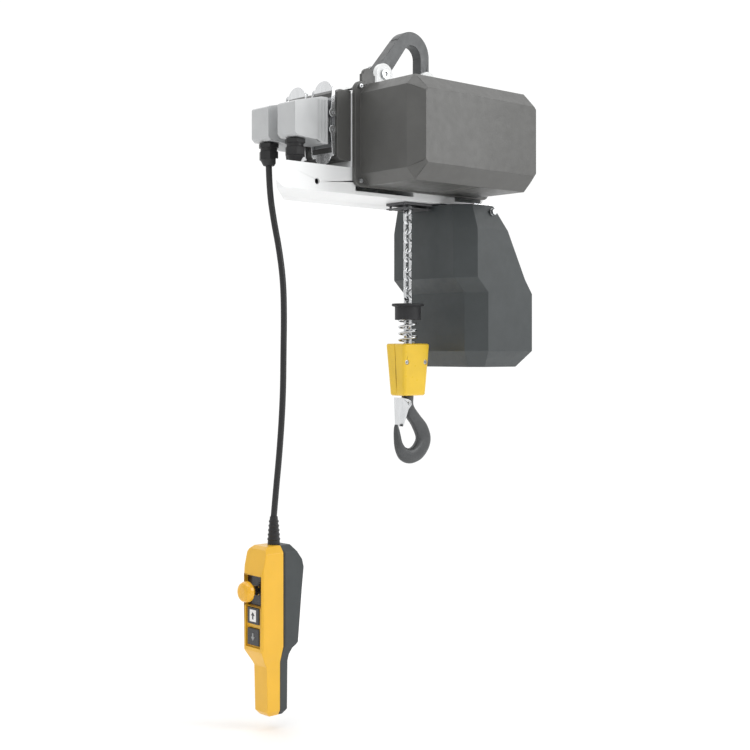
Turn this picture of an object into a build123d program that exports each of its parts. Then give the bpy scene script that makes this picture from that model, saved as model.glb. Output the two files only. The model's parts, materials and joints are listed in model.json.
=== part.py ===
"""Electric chain hoist: one fall of load chain, plug-in connections and a hanging control pendant.

Lengths are in millimetres. The origin is the inner seat of the suspension bracket, straight above
the load chain. +Z is up, the shafts lie along Y, the electrical cover faces -Y, the plug-in
connectors face -X and the chain bucket hangs on the +X side.
"""

import os
from math import acos, atan2, cos, pi, radians, sin, sqrt, tan

from build123d import *

os.makedirs("parts", exist_ok=True)

# ---------------------------------------------------------------- driving dimensions
PIN_Z = -76.0  # the two suspension pins
PIN_X = (-90.0, 38.5)
PIN_RADIUS = 8.0
BRACKET_THICK = 25.0

HOUSING_X = (-204.0, 185.0)
HOUSING_TOP = -111.0
HOUSING_BOTTOM = -339.0
HOUSING_FRONT = -50.0  # face that carries the electrical cover
HOUSING_BACK = 75.0  # face that carries the rear cover
REAR_DEPTH = 65.0
WING_X = -398.0  # end of the low wing under the connectors
WING_TOP = -285.0
WALL = 6.0

COVER_MID_X = -8.0
COVER_MID_Z = -216.0
FLANGE_SIZE = (392.0, 214.0)
FLANGE_THICK = 9.0
GASKET_THICK = 3.0
COVER_FRONT = -231.0
COVER_SHOULDER = -198.0
COVER_WALL = 4.0

CHAIN_WIRE = 7.0
CHAIN_PITCH = 20.5
CHAIN_INNER_WIDTH = 9.2
WHEEL_LINKS = 10  # links in one turn of the load wheel
WHEEL_Z = -225.0
INNER_FALL_LINKS = 5  # links hidden between the wheel and the outlet
FALL_LINKS = 16

MODULE_1, MODULE_2 = 1.5, 2.0
PINION_TEETH, GEAR_TEETH = 12, 84
MOTOR_X = -130.0
PRESSURE_ANGLE = radians(25)
TOOTH_PLAY = 0.25

BOX_X = (-240.0, -204.0)  # connector box
BOX_Y = (-48.0, 115.0)
BOX_Z = (-271.0, -129.0)
PLUG_Z = -195.0
PLUG_Y = {"pendant": 74.0, "supply": -12.0}
HOOD_X = (-343.0, -258.0)
GLAND_X = -320.0

BUCKET_X = (46.0, 276.0)
BUCKET_Y = (-130.0, 107.0)
BUCKET_Z = (-692.0, -343.0)
BUCKET_WALL = 4.0

CUP_TOP, CUP_BOTTOM = -555.0, -590.0
BLOCK_TOP, BLOCK_BOTTOM = -641.0, -753.0
HOOK_SEAT = -867.0

CABLE_RADIUS = 6.5
CABLE_ROUTE = [
    (-320.0, 74.0, -280.0),
    (-319.0, 73.0, -330.0),
    (-311.0, 69.5, -390.0),
    (-300.0, 65.0, -450.0),
    (-292.0, 62.0, -515.0),
    (-290.5, 61.5, -585.0),
    (-291.5, 62.0, -660.0),
    (-292.0, 62.5, -735.0),
    (-295.0, 64.0, -805.0),
    (-299.5, 66.5, -875.0),
    (-304.0, 70.0, -935.0),
    (-308.0, 73.0, -995.0),
]

HAND_X, HAND_Y = -308.0, 73.0  # axis of the control pendant
HAND_TOP, HAND_BOTTOM = -1052.0, -1397.0
HAND_WIDTH = 65.0
HAND_FRONT, HAND_BACK = -362.0, -256.0
ESTOP_Z, UP_Z, DOWN_Z = -1141.0, -1191.0, -1234.0


# ---------------------------------------------------------------- helpers
def write(piece, name):
    """Label a finished piece and write its STEP file."""
    piece.part.label = name
    export_step(piece.part, f"parts/{name}.step")


def block(x, y, z, mode=Mode.ADD):
    """A box given by its low and high X, Y and Z."""
    with Locations(((x[0] + x[1]) / 2, (y[0] + y[1]) / 2, (z[0] + z[1]) / 2)):
        Box(x[1] - x[0], y[1] - y[0], z[1] - z[0], mode=mode)


def rod(start, direction, radius, length, mode=Mode.ADD):
    """A cylinder that starts at a point and runs along a direction."""
    with Locations(Plane(origin=start, z_dir=direction)):
        Cylinder(radius, length, align=(Align.CENTER, Align.CENTER, Align.MIN), mode=mode)


def rod_y(x, z, y, radius, mode=Mode.ADD):
    """A cylinder along Y between two Y values."""
    rod((x, y[0], z), (0, 1, 0), radius, y[1] - y[0], mode)


def rod_z(x, y, z, radius, mode=Mode.ADD):
    """A cylinder along Z between two Z values."""
    rod((x, y, z[0]), (0, 0, 1), radius, z[1] - z[0], mode)


def side_profile(points, y, mode=Mode.ADD):
    """An X-Z outline between two Y values."""
    with BuildSketch(Plane.XZ.offset(-y[1])) as face:
        with BuildLine():
            Polyline(*points, close=True)
        make_face()
    extrude(face.sketch, amount=y[1] - y[0], mode=mode)


def plan_profile(points, z, mode=Mode.ADD):
    """An X-Y outline between two Z values."""
    with BuildSketch(Plane.XY.offset(z[0])) as face:
        with BuildLine():
            Polyline(*points, close=True)
        make_face()
    extrude(face.sketch, amount=z[1] - z[0], mode=mode)


def hexagon(start, direction, across_flats, length, mode=Mode.ADD):
    """A hexagonal prism that starts at a point and runs along a direction."""
    with BuildSketch(Plane(origin=start, z_dir=direction)) as face:
        RegularPolygon(across_flats / 2, 6, major_radius=False)
    extrude(face.sketch, amount=length, mode=mode)


def socket_screw(head_at, direction, head_radius, head_length, shank_radius, shank_length, key):
    """A cap screw: head_at is the bearing face of its head, direction points into the work."""
    out = Vector(*direction) * -1
    rod(head_at, tuple(out), head_radius, head_length)
    rod(head_at, direction, shank_radius, shank_length)
    tip = Vector(*head_at) + out * head_length
    hexagon(tuple(tip), direction, key, head_length * 0.6, Mode.SUBTRACT)


def link_path(centre, along, across):
    """A plane whose X runs along a chain link and whose Y runs across it."""
    normal = Vector(*along).cross(Vector(*across))
    return Plane(origin=centre, x_dir=along, z_dir=tuple(normal))


def chain_link(plane):
    """One welded link, as a round wire swept round a stadium."""
    bend = (CHAIN_INNER_WIDTH + CHAIN_WIRE) / 2
    straight = (CHAIN_PITCH + 0.3 + CHAIN_WIRE) / 2 - bend
    with BuildLine(plane) as wire:
        Line((-straight, bend), (straight, bend))
        ThreePointArc((straight, bend), (straight + bend, 0), (straight, -bend))
        Line((straight, -bend), (-straight, -bend))
        ThreePointArc((-straight, -bend), (-straight - bend, 0), (-straight, bend))
    start = wire.line @ 0
    with BuildSketch(Plane(origin=start, z_dir=tuple(wire.line % 0))) as section:
        Circle(CHAIN_WIRE / 2)
    sweep(section.sketch, path=wire.line)


def gear_outline(teeth, module, phase):
    """An involute gear, with four points on each flank. phase is the angle of one tooth's middle."""
    pitch = module * teeth / 2
    base = pitch * cos(PRESSURE_ANGLE)
    tip = pitch + 0.9 * module
    root = pitch - 1.2 * module
    half_pitch_tooth = (pi * module / 2 - TOOTH_PLAY) / 2 / pitch
    involute_at_pitch = tan(PRESSURE_ANGLE) - PRESSURE_ANGLE

    def half_angle(radius):
        pressure = acos(min(1.0, base / radius))
        return half_pitch_tooth + involute_at_pitch - (tan(pressure) - pressure)

    low = max(base, root + 0.2 * module)
    radii = [root] + [low + (tip - low) * step / 3 for step in range(4)]
    points = []
    for tooth in range(teeth):
        middle = phase + 2 * pi * tooth / teeth
        for radius in radii:
            angle = middle - half_angle(max(radius, low))
            points.append((radius * cos(angle), radius * sin(angle)))
        for radius in reversed(radii):
            angle = middle + half_angle(max(radius, low))
            points.append((radius * cos(angle), radius * sin(angle)))
    return points


def gear(x, z, y, teeth, module, phase):
    """A spur gear on a shaft along Y. phase is measured in the X-Z plane from +X towards +Z."""
    outline = [(x + px, z + pz) for px, pz in gear_outline(teeth, module, phase)]
    side_profile(outline, y)


def helix_coil(x, y, z, radius, wire, turns):
    """A round-wire compression spring with its axis along Z."""
    pitch = (z[1] - z[0] - wire) / turns
    path = Helix(pitch, pitch * turns, radius, center=(x, y, z[0] + wire / 2))
    with BuildSketch(Plane(origin=path @ 0, z_dir=path % 0)) as section:
        Circle(wire / 2)
    sweep(section.sketch, path=path, is_frenet=True)


# ---------------------------------------------------------------- derived places
WHEEL_APOTHEM = CHAIN_PITCH / (2 * tan(pi / WHEEL_LINKS))
WHEEL_X = WHEEL_APOTHEM
SLACK_X = 2 * WHEEL_APOTHEM
CENTRE_1 = MODULE_1 * (PINION_TEETH + GEAR_TEETH) / 2
CENTRE_2 = MODULE_2 * (PINION_TEETH + GEAR_TEETH) / 2
SHAFT_GAP = WHEEL_X - MOTOR_X
LAY_X = MOTOR_X + (CENTRE_1**2 - CENTRE_2**2 + SHAFT_GAP**2) / (2 * SHAFT_GAP)
LAY_Z = WHEEL_Z + sqrt(CENTRE_1**2 - (LAY_X - MOTOR_X) ** 2)
LINE_1 = atan2(LAY_Z - WHEEL_Z, LAY_X - MOTOR_X)
LINE_2 = atan2(WHEEL_Z - LAY_Z, WHEEL_X - LAY_X)
FLANGE_Y = HOUSING_FRONT - GASKET_THICK - FLANGE_THICK
REAR_Y = HOUSING_BACK + REAR_DEPTH
FALL_TOP = WHEEL_Z - CHAIN_PITCH * (INNER_FALL_LINKS + 1)
ANCHOR_Z = FALL_TOP - CHAIN_PITCH * (FALL_LINKS - 1)
WING_BACK_X = -286.0


# ---------------------------------------------------------------- main housing
def ear(x, y):
    """One rounded suspension lug standing on the housing."""
    with BuildSketch(Plane.XZ.offset(-y[1])) as face:
        with Locations((x, PIN_Z)):
            Circle(23)
        with Locations((x, (PIN_Z + HOUSING_TOP - 4) / 2)):
            Rectangle(46, PIN_Z - HOUSING_TOP + 4)
    extrude(face.sketch, amount=y[1] - y[0])


EAR_Y = [(-24.5, -13.5), (13.5, 24.5)]
HANGER_BOLTS = [(x, y) for x in (108, 138) for y in (-30, 55)]
REAR_SCREWS = [(x, z) for x in (HOUSING_X[0] + 24, -8, HOUSING_X[1] - 26) for z in (-325, -127)]
COVER_SCREWS = [(COVER_MID_X + dx, COVER_MID_Z + dz) for dx in (-184, 184) for dz in (-96, 96)]
BEARING_RADIUS = 17.5
WHEEL_BEARING_RADIUS, WHEEL_BEARING_LENGTH = 20.0, 12.0
BULKHEAD = (HOUSING_BACK - 12, HOUSING_BACK)
CHAMBER_X = (WHEEL_X - 62, WHEEL_X + 62)

with BuildPart() as main_housing:
    upper = [
        (HOUSING_X[0], HOUSING_BOTTOM),
        (HOUSING_X[1] - 18, HOUSING_BOTTOM),
        (HOUSING_X[1], HOUSING_BOTTOM + 18),
        (HOUSING_X[1], HOUSING_TOP - 24),
        (HOUSING_X[1] - 24, HOUSING_TOP),
        (HOUSING_X[0] + 24, HOUSING_TOP),
        (HOUSING_X[0], HOUSING_TOP - 24),
    ]
    side_profile(upper, (HOUSING_FRONT, HOUSING_BACK))
    wing = [
        (WING_X, HOUSING_FRONT),
        (HOUSING_X[0], HOUSING_FRONT),
        (HOUSING_X[0], HOUSING_BACK),
        (WING_BACK_X, HOUSING_BACK),
    ]
    plan_profile(wing, (HOUSING_BOTTOM, WING_TOP))
    # bevels along the wing's bottom and top front edges
    side_profile(
        [(WING_X, HOUSING_BOTTOM), (WING_X + 20, HOUSING_BOTTOM), (WING_X, HOUSING_BOTTOM + 12)],
        (HOUSING_FRONT, HOUSING_BACK),
        Mode.SUBTRACT,
    )
    # motor and control cavity, open behind the electrical cover
    block((-193, CHAMBER_X[0]), (HOUSING_FRONT, BULKHEAD[0]), (-331, -119), Mode.SUBTRACT)
    block((CHAMBER_X[1], 174), (HOUSING_FRONT, BULKHEAD[0]), (-331, -119), Mode.SUBTRACT)
    block((CHAMBER_X[0], CHAMBER_X[1]), (HOUSING_FRONT, BULKHEAD[0]), (-160, -119), Mode.SUBTRACT)
    # wing pocket, open to the rear cover
    pocket = [(-372, -44), (-210, -44), (-210, HOUSING_BACK), (-270, HOUSING_BACK)]
    plan_profile(pocket, (HOUSING_BOTTOM + WALL, WING_TOP - WALL), Mode.SUBTRACT)
    # chain chamber with the load wheel in it
    rod_y(WHEEL_X, WHEEL_Z, (-22, 22), 50, Mode.SUBTRACT)
    block((-18, SLACK_X + 18), (-22, 22), (HOUSING_BOTTOM, WHEEL_Z), Mode.SUBTRACT)
    block((-24.3, SLACK_X + 24.3), (-24.3, 24.3), (HOUSING_BOTTOM, -330.8), Mode.SUBTRACT)
    rod_y(WHEEL_X, WHEEL_Z, (HOUSING_FRONT, HOUSING_BACK), 13.5, Mode.SUBTRACT)
    rod_y(WHEEL_X, WHEEL_Z, (-50, -38 + WHEEL_BEARING_LENGTH), WHEEL_BEARING_RADIUS, Mode.SUBTRACT)
    rod_y(WHEEL_X, WHEEL_Z, (63, HOUSING_BACK), WHEEL_BEARING_RADIUS, Mode.SUBTRACT)
    # motor and layshaft bearing seats in the bulkhead
    for x, z in ((MOTOR_X, WHEEL_Z), (LAY_X, LAY_Z)):
        rod_y(x, z, (64, HOUSING_BACK), BEARING_RADIUS, Mode.SUBTRACT)
        rod_y(x, z, (60, HOUSING_BACK), 9, Mode.SUBTRACT)
    # wire window to the connector box
    block((HOUSING_X[0] - 1, -192), (-30, 40), (-240, -150), Mode.SUBTRACT)
    for x in PIN_X:
        for y in EAR_Y:
            ear(x, y)
        rod_y(x, PIN_Z, (-26, 26), PIN_RADIUS + 0.05, Mode.SUBTRACT)
    # drain plug boss in the wing and screw seats under the front edge
    rod_y(-294, -320, (-50, -44), 6, Mode.SUBTRACT)
    # tapped seats of the cover screws and of the rear cover screws
    for x, z in COVER_SCREWS:
        rod_y(x, z, (HOUSING_FRONT, -34), 2.6, Mode.SUBTRACT)
    for x, z in REAR_SCREWS:
        rod_y(x, z, (64, HOUSING_BACK), 2.6, Mode.SUBTRACT)
    for x, y in HANGER_BOLTS:
        rod_z(x, y, (HOUSING_BOTTOM - 1, -330), 3.1, Mode.SUBTRACT)
write(main_housing, "main_housing")

# ---------------------------------------------------------------- rear cover
REAR_SHOULDER = REAR_Y - 14

with BuildPart() as rear_cover:
    side_profile(upper, (HOUSING_BACK, REAR_SHOULDER))
    inset = [
        (HOUSING_X[0] + 12, HOUSING_BOTTOM + 2),
        (HOUSING_X[1] - 26, HOUSING_BOTTOM + 2),
        (HOUSING_X[1] - 10, HOUSING_BOTTOM + 22),
        (HOUSING_X[1] - 10, HOUSING_TOP - 32),
        (HOUSING_X[1] - 32, HOUSING_TOP - 10),
        (HOUSING_X[0] + 34, HOUSING_TOP - 10),
        (HOUSING_X[0] + 12, HOUSING_TOP - 32),
    ]
    side_profile(inset, (REAR_SHOULDER, REAR_Y))
    wing_back = [(WING_BACK_X, HOUSING_BACK), (-203, HOUSING_BACK), (-203, 124), (-242, 124)]
    plan_profile(wing_back, (HOUSING_BOTTOM, WING_TOP))
    # cooling ribs across the back face
    for z in range(-300, -150, 20):
        block((-180, 150), (REAR_Y - 2, REAR_Y + 6), (z, z + 5))
    room = [(-196, -333), (162, -333), (177, -318), (177, -138), (158, -119), (-177, -119), (-196, -138)]
    side_profile(room, (HOUSING_BACK, REAR_Y - 22), Mode.SUBTRACT)
    wing_back_pocket = [(-274, HOUSING_BACK), (-208, HOUSING_BACK), (-208, 118), (-240, 118)]
    plan_profile(wing_back_pocket, (HOUSING_BOTTOM + WALL, WING_TOP - WALL), Mode.SUBTRACT)
    # layshaft bearing boss and screw pillars
    rod_y(LAY_X, LAY_Z, (REAR_Y - 26, REAR_Y - 12), 25)
    rod_y(LAY_X, LAY_Z, (REAR_Y - 28, REAR_Y - 12), BEARING_RADIUS, Mode.SUBTRACT)
    for x, z in REAR_SCREWS:
        rod_y(x, z, (HOUSING_BACK, REAR_SHOULDER), 9)
        rod_y(x, z, (HOUSING_BACK - 1, REAR_Y + 1), 2.6, Mode.SUBTRACT)
        rod_y(x, z, (REAR_SHOULDER, REAR_Y + 1), 6.8, Mode.SUBTRACT)
write(rear_cover, "rear_cover")

with BuildPart() as rear_cover_screws:
    for x, z in REAR_SCREWS:
        socket_screw((x, REAR_SHOULDER, z), (0, -1, 0), 4.9, 5, 2.5, REAR_DEPTH - 4, 4)
write(rear_cover_screws, "rear_cover_screws")


# ---------------------------------------------------------------- electrical cover
def rounded_frame(y, width, height, radius):
    """A rounded plate in the X-Z plane, centred on the cover."""
    with BuildSketch(Plane.XZ.offset(-y[1])) as face:
        with Locations((COVER_MID_X, COVER_MID_Z)):
            RectangleRounded(width, height, radius)
    extrude(face.sketch, amount=y[1] - y[0])


def cover_body(grow, front, shoulder):
    """The faceted bowl of the cover: grow moves its walls, front and shoulder are Y values."""
    half_w, half_h = 182 + grow, 104 + grow
    slim_w, slim_h = 162 + grow, 73 + grow
    with BuildSketch(Plane.XZ.offset(-(FLANGE_Y + 1))) as base:
        with Locations((COVER_MID_X, COVER_MID_Z)):
            Rectangle(2 * half_w, 2 * half_h)
            # slanted corners that the screw channels run along
        chamfer(base.vertices(), 22)
    extrude(base.sketch, amount=FLANGE_Y + 1 - shoulder)
    with BuildSketch(Plane.XZ.offset(-shoulder)) as wide:
        with Locations((COVER_MID_X, COVER_MID_Z)):
            Rectangle(2 * half_w, 2 * half_h)
        chamfer(wide.vertices(), 22)
    with BuildSketch(Plane.XZ.offset(-front)) as slim:
        with Locations((COVER_MID_X, COVER_MID_Z)):
            Rectangle(2 * slim_w, 2 * slim_h)
        chamfer(slim.vertices(), 6)
    loft([wide.sketch, slim.sketch], ruled=True)


LUG_Y = (FLANGE_Y + 4, HOUSING_FRONT - 0.3)

with BuildPart() as electrical_cover:
    rounded_frame((FLANGE_Y, FLANGE_Y + FLANGE_THICK), *FLANGE_SIZE, 16)
    cover_body(0, COVER_FRONT, COVER_SHOULDER)
    # locating lug that reaches over the housing's top
    block((-183, -147), LUG_Y, (-110.5, -92))
    rod_y(-165, -94, LUG_Y, 15)
    # screw channels along the four corners
    for x, z in COVER_SCREWS:
        rod_y(x, z, (COVER_SHOULDER - 12, FLANGE_Y), 9, Mode.SUBTRACT)
        rod_y(x, z, (FLANGE_Y - 1, -49), 2.8, Mode.SUBTRACT)
    # middle channels, top and bottom
    for side in (-1, 1):
        rod_y(14, COVER_MID_Z + side * 107, (COVER_SHOULDER + 2, FLANGE_Y), 7, Mode.SUBTRACT)
with BuildPart() as cover_room:
    rounded_frame((FLANGE_Y + 2, FLANGE_Y + FLANGE_THICK + 1), 320, 170, 8)
    cover_body(-COVER_WALL - 12, COVER_FRONT + COVER_WALL, COVER_SHOULDER + 2)
with BuildPart() as electrical_cover_shell:
    add(electrical_cover.part)
    add(cover_room.part, mode=Mode.SUBTRACT)
write(electrical_cover_shell, "electrical_cover")

with BuildPart() as cover_gasket:
    rounded_frame((HOUSING_FRONT - GASKET_THICK, HOUSING_FRONT), 388, 210, 14)
    block((-178, 162), (HOUSING_FRONT - 4, HOUSING_FRONT + 1), (-306, -126), Mode.SUBTRACT)
    for x, z in COVER_SCREWS:
        rod_y(x, z, (HOUSING_FRONT - 4, HOUSING_FRONT + 1), 2.8, Mode.SUBTRACT)
write(cover_gasket, "cover_gasket")

with BuildPart() as cover_screws:
    for x, z in COVER_SCREWS:
        socket_screw((x, FLANGE_Y, z), (0, 1, 0), 4.5, 5, 2.5, 24, 4)
write(cover_screws, "cover_screws")

# ---------------------------------------------------------------- connector box
with BuildPart() as connector_box:
    block(BOX_X, BOX_Y, BOX_Z)
    chamfer(connector_box.edges().filter_by(Axis.Y).group_by(Axis.X)[0], 6)
    block((BOX_X[0] + 4, BOX_X[1]), (BOX_Y[0] + 4, BOX_Y[1] - 4), (BOX_Z[0] + 4, BOX_Z[1] - 4), Mode.SUBTRACT)
    for y in PLUG_Y.values():
        block((BOX_X[0] - 1, BOX_X[0] + 5), (y - 12, y + 12), (PLUG_Z - 28, PLUG_Z + 28), Mode.SUBTRACT)
write(connector_box, "connector_box")

# ---------------------------------------------------------------- suspension bracket and pins
with BuildPart() as suspension_bracket:
    with BuildSketch(Plane.XZ.offset(-BRACKET_THICK / 2)):
        with Locations((1, -21)):
            Circle(50.5)
        with BuildLine():
            Polyline(
                (-41, 8), (-107, -70), (-100, -88), (-80, -91), (-74, -82), (-10, -20), close=True
            )
        make_face()
        with Locations((39, -50)):
            Rectangle(25, 60)
        with Locations((PIN_X[1], PIN_Z)):
            Circle(14.5)
        with Locations((PIN_X[0], PIN_Z)):
            Circle(15)
        with Locations((1, -24.8)):
            Circle(24.8, mode=Mode.SUBTRACT)
        with BuildLine():
            Polyline((-19.6, -11), (26, -24), (26, -95), (-24, -95), (-72, -80), close=True)
        make_face(mode=Mode.SUBTRACT)
    extrude(amount=BRACKET_THICK)
    for x in PIN_X:
        rod_y(x, PIN_Z, (-20, 20), PIN_RADIUS + 0.05, Mode.SUBTRACT)
write(suspension_bracket, "suspension_bracket")

with BuildPart() as suspension_pins:
    for x in PIN_X:
        rod_y(x, PIN_Z, (-25.5, 29), PIN_RADIUS)
        rod_y(x, PIN_Z, (-29.5, -25), PIN_RADIUS + 3)
        rod_y(x, PIN_Z, (25, 27.5), PIN_RADIUS + 2.5)
        hexagon((x, -29.5, PIN_Z), (0, 1, 0), 8, 3, Mode.SUBTRACT)
write(suspension_pins, "suspension_pins")

# ---------------------------------------------------------------- drive train
PINION_1_Y = (82, 94)
GEAR_1_Y = (82.5, 93.5)
PINION_2_Y = (99, 112)
GEAR_2_Y = (99.5, 111.5)
TOOTH_2 = 2 * pi / GEAR_TEETH
LAY_PHASE = LINE_1 + pi + TOOTH_2 / 2
WHEEL_BORE = 12.0

with BuildPart() as motor_stator:
    rod_y(MOTOR_X, WHEEL_Z, (-8, 50), 60)
    rod_y(MOTOR_X, WHEEL_Z, (-9, 51), 34.6, Mode.SUBTRACT)
    rod_y(MOTOR_X, WHEEL_Z, (-16.5, -8), 60)
    rod_y(MOTOR_X, WHEEL_Z, (-17, -5.5), BEARING_RADIUS, Mode.SUBTRACT)
    for angle in range(0, 360, 45):
        x = MOTOR_X + 60 * cos(radians(angle))
        z = WHEEL_Z + 60 * sin(radians(angle))
        rod_y(x, z, (-8, 50), 3, Mode.SUBTRACT)
write(motor_stator, "motor_stator")

with BuildPart() as motor_rotor:
    rod_y(MOTOR_X, WHEEL_Z, (-2, 46), 34)
    rod_y(MOTOR_X, WHEEL_Z, (-40, PINION_1_Y[0]), 6.9)
    gear(MOTOR_X, WHEEL_Z, PINION_1_Y, PINION_TEETH, MODULE_1, LINE_1)
write(motor_rotor, "motor_rotor")

with BuildPart() as brake_coil:
    rod_y(MOTOR_X, WHEEL_Z, (-44, -28.5), 42)
    rod_y(MOTOR_X, WHEEL_Z, (-45, -28), 12, Mode.SUBTRACT)
write(brake_coil, "brake_coil")

with BuildPart() as brake_armature:
    rod_y(MOTOR_X, WHEEL_Z, (-28, -24), 40)
    rod_y(MOTOR_X, WHEEL_Z, (-29, -23), 12, Mode.SUBTRACT)
write(brake_armature, "brake_armature")

with BuildPart() as brake_disc:
    rod_y(MOTOR_X, WHEEL_Z, (-23.9, -17.5), 38)
    rod_y(MOTOR_X, WHEEL_Z, (-25, -17), 6.9, Mode.SUBTRACT)
write(brake_disc, "brake_disc")


def ring_y(x, z, y, inner, outer, mode=Mode.ADD):
    """A plain ring round an axis along Y."""
    with BuildSketch(Plane.XZ.offset(-y[1])) as face:
        with Locations((x, z)):
            Circle(outer)
            Circle(inner, mode=Mode.SUBTRACT)
    extrude(face.sketch, amount=y[1] - y[0], mode=mode)


with BuildPart() as small_bearings:
    ring_y(MOTOR_X, WHEEL_Z, (-16.5, -5.5), 6.95, BEARING_RADIUS)
    ring_y(MOTOR_X, WHEEL_Z, (64, 75), 6.95, BEARING_RADIUS)
    ring_y(LAY_X, LAY_Z, (64, 75), 6.95, BEARING_RADIUS)
    ring_y(LAY_X, LAY_Z, (REAR_Y - 26, REAR_Y - 15), 6.95, BEARING_RADIUS)
write(small_bearings, "small_bearings")

with BuildPart() as layshaft:
    rod_y(LAY_X, LAY_Z, (65, PINION_2_Y[0]), 6.9)
    rod_y(LAY_X, LAY_Z, (PINION_2_Y[1], REAR_Y - 16), 6.9)
    gear(LAY_X, LAY_Z, PINION_2_Y, PINION_TEETH, MODULE_2, LINE_2)
write(layshaft, "layshaft")

with BuildPart() as intermediate_gear:
    gear(LAY_X, LAY_Z, GEAR_1_Y, GEAR_TEETH, MODULE_1, LAY_PHASE)
    rod_y(LAY_X, LAY_Z, (GEAR_1_Y[0] - 3, GEAR_1_Y[1] + 3), 14)
    rod_y(LAY_X, LAY_Z, (70, 110), 6.9, Mode.SUBTRACT)
write(intermediate_gear, "intermediate_gear")

with BuildPart() as load_gear:
    gear(WHEEL_X, WHEEL_Z, GEAR_2_Y, GEAR_TEETH, MODULE_2, LINE_2 + pi + TOOTH_2 / 2)
    rod_y(WHEEL_X, WHEEL_Z, (GEAR_2_Y[0] - 6, GEAR_2_Y[1] + 3), 22)
    rod_y(WHEEL_X, WHEEL_Z, (90, 120), WHEEL_BORE, Mode.SUBTRACT)
write(load_gear, "load_gear")

with BuildPart() as wheel_bearings:
    ring_y(WHEEL_X, WHEEL_Z, (-38, -26), WHEEL_BORE + 0.05, WHEEL_BEARING_RADIUS)
    ring_y(WHEEL_X, WHEEL_Z, (63, 75), WHEEL_BORE + 0.05, WHEEL_BEARING_RADIUS)
write(wheel_bearings, "wheel_bearings")

with BuildPart() as load_wheel:
    rod_y(WHEEL_X, WHEEL_Z, (-20, 20), WHEEL_APOTHEM + 4.5)
    ring_y(WHEEL_X, WHEEL_Z, (-5.2, 5.2), WHEEL_APOTHEM - 14.5, WHEEL_APOTHEM + 20, Mode.SUBTRACT)
    pocket_depth = WHEEL_APOTHEM - CHAIN_WIRE / 2 - 1.6
    for step in range(WHEEL_LINKS // 2):
        angle = pi - 4 * pi * step / WHEEL_LINKS
        outward = Vector(cos(angle), 0, sin(angle))
        middle = Vector(WHEEL_X, 0, WHEEL_Z) + outward * pocket_depth
        with BuildSketch(Plane(origin=middle, x_dir=(0, 1, 0), z_dir=outward)) as pocket_face:
            Rectangle(CHAIN_INNER_WIDTH + 2 * CHAIN_WIRE + 1.6, CHAIN_PITCH + 2 * CHAIN_WIRE + 4)
        extrude(pocket_face.sketch, amount=30, mode=Mode.SUBTRACT)
    rod_y(WHEEL_X, WHEEL_Z, (-37, -20), WHEEL_BORE)
    rod_y(WHEEL_X, WHEEL_Z, (20, 116), WHEEL_BORE)
write(load_wheel, "load_wheel")

# ---------------------------------------------------------------- electrics
with BuildPart() as control_board:
    block((-150, 130), (-78, -76.4), (-296, -136))
    for x in (-142, 122):
        for z in (-288, -144):
            rod_y(x, z, (-79, -75), 2, Mode.SUBTRACT)
write(control_board, "control_board")

with BuildPart() as contactors:
    for x in (-110, -58, -6):
        block((x, x + 45), (-150, -78), (-232, -170))
        block((x + 6, x + 39), (-160, -150), (-216, -186))
write(contactors, "contactors")

# ---------------------------------------------------------------- chain outlet
PLATE_PINS = [(-30, -22), (-30, 22), (38, -22)]

with BuildPart() as chain_guide:
    block((-24, SLACK_X + 24), (-24, 24), (-343, -331))
    block((-36, 44), (-30, 30), (-345, HOUSING_BOTTOM - 0.2))
    for x in (0, SLACK_X):
        block((x - 14, x + 14), (-5.5, 5.5), (-350, -325), Mode.SUBTRACT)
        block((x - 5.5, x + 5.5), (-14, 14), (-350, -325), Mode.SUBTRACT)
    for x, y in PLATE_PINS:
        rod_z(x, y, (-350, HOUSING_BOTTOM), 2.6, Mode.SUBTRACT)
write(chain_guide, "chain_guide")

with BuildPart() as limit_plate:
    block((-36, 43), (-30, 30), (-353, -350.5))
    rod_z(0, 0, (-354, -350), 14.5, Mode.SUBTRACT)
    for x, y in PLATE_PINS:
        rod_z(x, y, (-351, -344.4), 2.55)
        rod_z(x, y, (-354.5, -353), 4)
write(limit_plate, "limit_plate")


# ---------------------------------------------------------------- plug-in connections
SOCKET_X = (HOOD_X[1], BOX_X[0])
PIVOT_X, PIVOT_RISE = -249.0, 17.0
SIDE_Y = 28.0  # half width of a hood


def socket_base(y):
    """The bulkhead half of one connector, with its four pivot pegs."""
    block((SOCKET_X[1] - 4, SOCKET_X[1]), (y - 30, y + 30), (PLUG_Z - 50, PLUG_Z + 50))
    block((SOCKET_X[0], SOCKET_X[1]), (y - 25, y + 25), (PLUG_Z - 43, PLUG_Z + 43))
    block((SOCKET_X[0] - 1, SOCKET_X[1] + 1), (y - 12, y + 12), (PLUG_Z - 28, PLUG_Z + 28), Mode.SUBTRACT)
    for side in (-1, 1):
        for rise in (-PIVOT_RISE, PIVOT_RISE):
            rod((PIVOT_X, y + side * 24, PLUG_Z + rise), (0, side, 0), 3.0, 9.5)


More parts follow.
